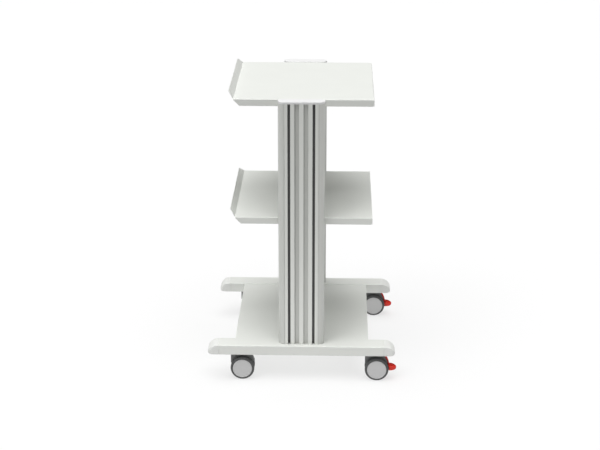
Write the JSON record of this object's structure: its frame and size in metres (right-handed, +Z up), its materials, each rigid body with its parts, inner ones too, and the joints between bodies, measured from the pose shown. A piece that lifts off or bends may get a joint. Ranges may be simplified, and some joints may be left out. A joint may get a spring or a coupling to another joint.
{
  "type": "instrument cart",
  "caption": "Open cart with slotted side columns, folded sheet shelves with a raised rear lip, a low plate on box rails, and braked twin-wheel swivel casters.",
  "frame": {"origin": "on the floor under the middle of the cart's footprint", "axes": "+X to the front, where the casters have brakes, +Y to the left side, +Z up"},
  "size_m": [0.592, 0.58, 0.9171],
  "materials": {
    "powder_coated_steel": "fine matt powder coat, light grey",
    "anodised_aluminium": "satin anodised",
    "duct_cover_plastic": "satin grey",
    "cap_plastic": "satin light grey",
    "zinc_plated_steel": "zinc plated",
    "dark_grey_plastic": "matt",
    "hood_plastic": "fine textured mid grey",
    "wheel_plastic": "satin light grey",
    "tyre_rubber": "matt dark grey, non-marking",
    "red_plastic": "satin red",
    "shoe_plastic": "matt"
  },
  "bodies": {
    "cart_frame": {"right_base_rail": "powder_coated_steel", "left_base_rail": "powder_coated_steel", "front_right_rail_cap": "cap_plastic", "front_left_rail_cap": "cap_plastic", "rear_right_rail_cap": "cap_plastic", "rear_left_rail_cap": "cap_plastic", "base_plate": "powder_coated_steel", "base_plate_screws": "zinc_plated_steel", "right_column": "anodised_aluminium", "left_column": "anodised_aluminium", "front_right_duct_cover": "duct_cover_plastic", "front_left_duct_cover": "duct_cover_plastic", "rear_right_duct_cover": "duct_cover_plastic", "rear_left_duct_cover": "duct_cover_plastic", "right_column_cap": "cap_plastic", "left_column_cap": "cap_plastic", "column_bolts": "zinc_plated_steel", "access_plugs": "dark_grey_plastic", "stem_inserts": "zinc_plated_steel", "swivel_washers": "zinc_plated_steel", "swivel_rings": "zinc_plated_steel", "front_right_caster_stem": "zinc_plated_steel", "front_left_caster_stem": "zinc_plated_steel", "rear_right_caster_stem": "zinc_plated_steel", "rear_left_caster_stem": "zinc_plated_steel"},
    "middle_tray": {"middle_shelf": "powder_coated_steel", "middle_shelf_screws": "zinc_plated_steel", "middle_shelf_t_nuts": "zinc_plated_steel"},
    "top_tray": {"top_shelf": "powder_coated_steel", "top_shelf_screws": "zinc_plated_steel", "top_shelf_t_nuts": "zinc_plated_steel"},
    "front_right_swivel": {"front_right_caster_housing": "hood_plastic", "front_right_axle": "zinc_plated_steel"},
    "front_right_outer_roller": {"front_right_outer_wheel": "wheel_plastic", "front_right_outer_tyre": "tyre_rubber"},
    "front_right_inner_roller": {"front_right_inner_wheel": "wheel_plastic", "front_right_inner_tyre": "tyre_rubber"},
    "front_right_brake": {"front_right_brake_pedal": "red_plastic"},
    "front_right_shoe": {"front_right_brake_shoe": "shoe_plastic"},
    "front_left_swivel": {"front_left_caster_housing": "hood_plastic", "front_left_axle": "zinc_plated_steel"},
    "front_left_outer_roller": {"front_left_outer_wheel": "wheel_plastic", "front_left_outer_tyre": "tyre_rubber"},
    "front_left_inner_roller": {"front_left_inner_wheel": "wheel_plastic", "front_left_inner_tyre": "tyre_rubber"},
    "front_left_brake": {"front_left_brake_pedal": "red_plastic"},
    "front_left_shoe": {"front_left_brake_shoe": "shoe_plastic"},
    "rear_right_swivel": {"rear_right_caster_housing": "hood_plastic", "rear_right_axle": "zinc_plated_steel"},
    "rear_right_outer_roller": {"rear_right_outer_wheel": "wheel_plastic", "rear_right_outer_tyre": "tyre_rubber"},
    "rear_right_inner_roller": {"rear_right_inner_wheel": "wheel_plastic", "rear_right_inner_tyre": "tyre_rubber"},
    "rear_left_swivel": {"rear_left_caster_housing": "hood_plastic", "rear_left_axle": "zinc_plated_steel"},
    "rear_left_outer_roller": {"rear_left_outer_wheel": "wheel_plastic", "rear_left_outer_tyre": "tyre_rubber"},
    "rear_left_inner_roller": {"rear_left_inner_wheel": "wheel_plastic", "rear_left_inner_tyre": "tyre_rubber"}
  },
  "joints": [
    {"name": "middle_shelf_height", "type": "slide", "parent": "cart_frame", "child": "middle_tray", "axis": [0, 0, 1], "range_m": [-0.3, 0.2]},
    {"name": "top_shelf_height", "type": "slide", "parent": "cart_frame", "child": "top_tray", "axis": [0, 0, 1], "range_m": [-0.1, 0]},
    {"name": "front_right_swivel_turn", "type": "hinge", "parent": "cart_frame", "child": "front_right_swivel", "pos_m": [0.211, -0.26, 0.0846], "axis": [0, 0, 1], "continuous": true},
    {"name": "front_right_outer_roll", "type": "hinge", "parent": "front_right_swivel", "child": "front_right_outer_roller", "pos_m": [0.237, -0.26, 0.0375], "axis": [0, 1, 0], "continuous": true},
    {"name": "front_right_inner_roll", "type": "hinge", "parent": "front_right_swivel", "child": "front_right_inner_roller", "pos_m": [0.237, -0.26, 0.0375], "axis": [0, 1, 0], "continuous": true},
    {"name": "front_right_brake_press", "type": "hinge", "parent": "front_right_swivel", "child": "front_right_brake", "pos_m": [0.237, -0.26, 0.0375], "axis": [0, 1, 0], "range_deg": [0, 14]},
    {"name": "front_right_shoe_lift", "type": "slide", "parent": "front_right_swivel", "child": "front_right_shoe", "axis": [0, 0, 1], "range_m": [0, 0.00151]},
    {"name": "front_left_swivel_turn", "type": "hinge", "parent": "cart_frame", "child": "front_left_swivel", "pos_m": [0.211, 0.26, 0.0846], "axis": [0, 0, 1], "continuous": true},
    {"name": "front_left_outer_roll", "type": "hinge", "parent": "front_left_swivel", "child": "front_left_outer_roller", "pos_m": [0.237, 0.26, 0.0375], "axis": [0, 1, 0], "continuous": true},
    {"name": "front_left_inner_roll", "type": "hinge", "parent": "front_left_swivel", "child": "front_left_inner_roller", "pos_m": [0.237, 0.26, 0.0375], "axis": [0, 1, 0], "continuous": true},
    {"name": "front_left_brake_press", "type": "hinge", "parent": "front_left_swivel", "child": "front_left_brake", "pos_m": [0.237, 0.26, 0.0375], "axis": [0, 1, 0], "range_deg": [0, 14]},
    {"name": "front_left_shoe_lift", "type": "slide", "parent": "front_left_swivel", "child": "front_left_shoe", "axis": [0, 0, 1], "range_m": [0, 0.00151]},
    {"name": "rear_right_swivel_turn", "type": "hinge", "parent": "cart_frame", "child": "rear_right_swivel", "pos_m": [-0.211, -0.26, 0.0846], "axis": [0, 0, 1], "continuous": true},
    {"name": "rear_right_outer_roll", "type": "hinge", "parent": "rear_right_swivel", "child": "rear_right_outer_roller", "pos_m": [-0.185, -0.26, 0.0375], "axis": [0, 1, 0], "continuous": true},
    {"name": "rear_right_inner_roll", "type": "hinge", "parent": "rear_right_swivel", "child": "rear_right_inner_roller", "pos_m": [-0.185, -0.26, 0.0375], "axis": [0, 1, 0], "continuous": true},
    {"name": "rear_left_swivel_turn", "type": "hinge", "parent": "cart_frame", "child": "rear_left_swivel", "pos_m": [-0.211, 0.26, 0.0846], "axis": [0, 0, 1], "continuous": true},
    {"name": "rear_left_outer_roll", "type": "hinge", "parent": "rear_left_swivel", "child": "rear_left_outer_roller", "pos_m": [-0.185, 0.26, 0.0375], "axis": [0, 1, 0], "continuous": true},
    {"name": "rear_left_inner_roll", "type": "hinge", "parent": "rear_left_swivel", "child": "rear_left_inner_roller", "pos_m": [-0.185, 0.26, 0.0375], "axis": [0, 1, 0], "continuous": true}
  ],
  "couplings": [
    {"joint": "front_right_shoe_lift", "follows": "front_right_brake_press", "m_per_rad": 0.006139},
    {"joint": "front_left_shoe_lift", "follows": "front_left_brake_press", "m_per_rad": 0.006139}
  ]
}
